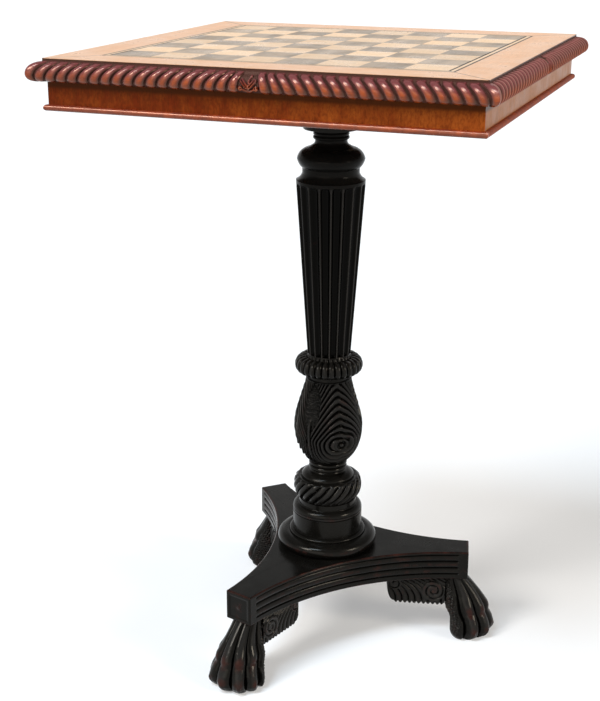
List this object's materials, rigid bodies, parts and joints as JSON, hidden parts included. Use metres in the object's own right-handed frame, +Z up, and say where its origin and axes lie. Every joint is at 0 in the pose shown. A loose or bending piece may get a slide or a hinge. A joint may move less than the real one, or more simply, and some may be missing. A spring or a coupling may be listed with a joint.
{
  "type": "pedestal chess table",
  "caption": "Square chess table with an inlaid board and carved edge on a turned, fluted column and a three-armed base with paw feet.",
  "frame": {"origin": "on the floor under the column's axis, the centre of the square top's outline", "axes": "+Z up along the column; the square top's sides lie along X and Y, and its front faces -Y"},
  "size_m": [0.49, 0.49, 0.724],
  "materials": {
    "light_veneer": "satin varnish over pale veneer",
    "dark_veneer": "satin varnish over grey-brown veneer",
    "dark_line": "black stringing under varnish",
    "border_veneer": "satin varnish over honey veneer",
    "mahogany": "polished",
    "carved_mahogany": "high polish, dark in the hollows",
    "ebonised_wood": "satin black, rubbed brown at the edges",
    "softwood": "bare, oxidised",
    "screw_steel": "dull, aged"
  },
  "bodies": {
    "root": {"base_ring": "ebonised_wood", "bearer_cross": "softwood", "bearer_long": "softwood", "bearer_screws": "screw_steel", "border_back": "border_veneer", "border_front": "border_veneer", "border_left": "border_veneer", "border_right": "border_veneer", "column_drum": "ebonised_wood", "column_shaft": "ebonised_wood", "corner_blocks": "softwood", "dark_squares": "dark_veneer", "edge_moulding_back": "carved_mahogany", "edge_moulding_front": "carved_mahogany", "edge_moulding_left": "carved_mahogany", "edge_moulding_right": "carved_mahogany", "frieze_bead_back": "carved_mahogany", "frieze_bead_front": "carved_mahogany", "frieze_bead_left": "carved_mahogany", "frieze_bead_right": "carved_mahogany", "frieze_rail_back": "mahogany", "frieze_rail_front": "mahogany", "frieze_rail_left": "mahogany", "frieze_rail_right": "mahogany", "gadroon_collar": "ebonised_wood", "inner_line": "dark_line", "leaf_vase": "ebonised_wood", "light_band": "light_veneer", "light_squares": "light_veneer", "lower_wedge": "softwood", "outer_line": "dark_line", "paw_foot_back": "ebonised_wood", "paw_foot_front": "ebonised_wood", "paw_foot_right": "ebonised_wood", "platform": "ebonised_wood", "rope_ring": "ebonised_wood", "rub_blocks": "softwood", "scroll_bracket_back": "ebonised_wood", "scroll_bracket_front": "ebonised_wood", "scroll_bracket_right": "ebonised_wood", "socket_boss": "ebonised_wood", "top_ground": "mahogany", "upper_wedge": "softwood"}
  },
  "joints": []
}
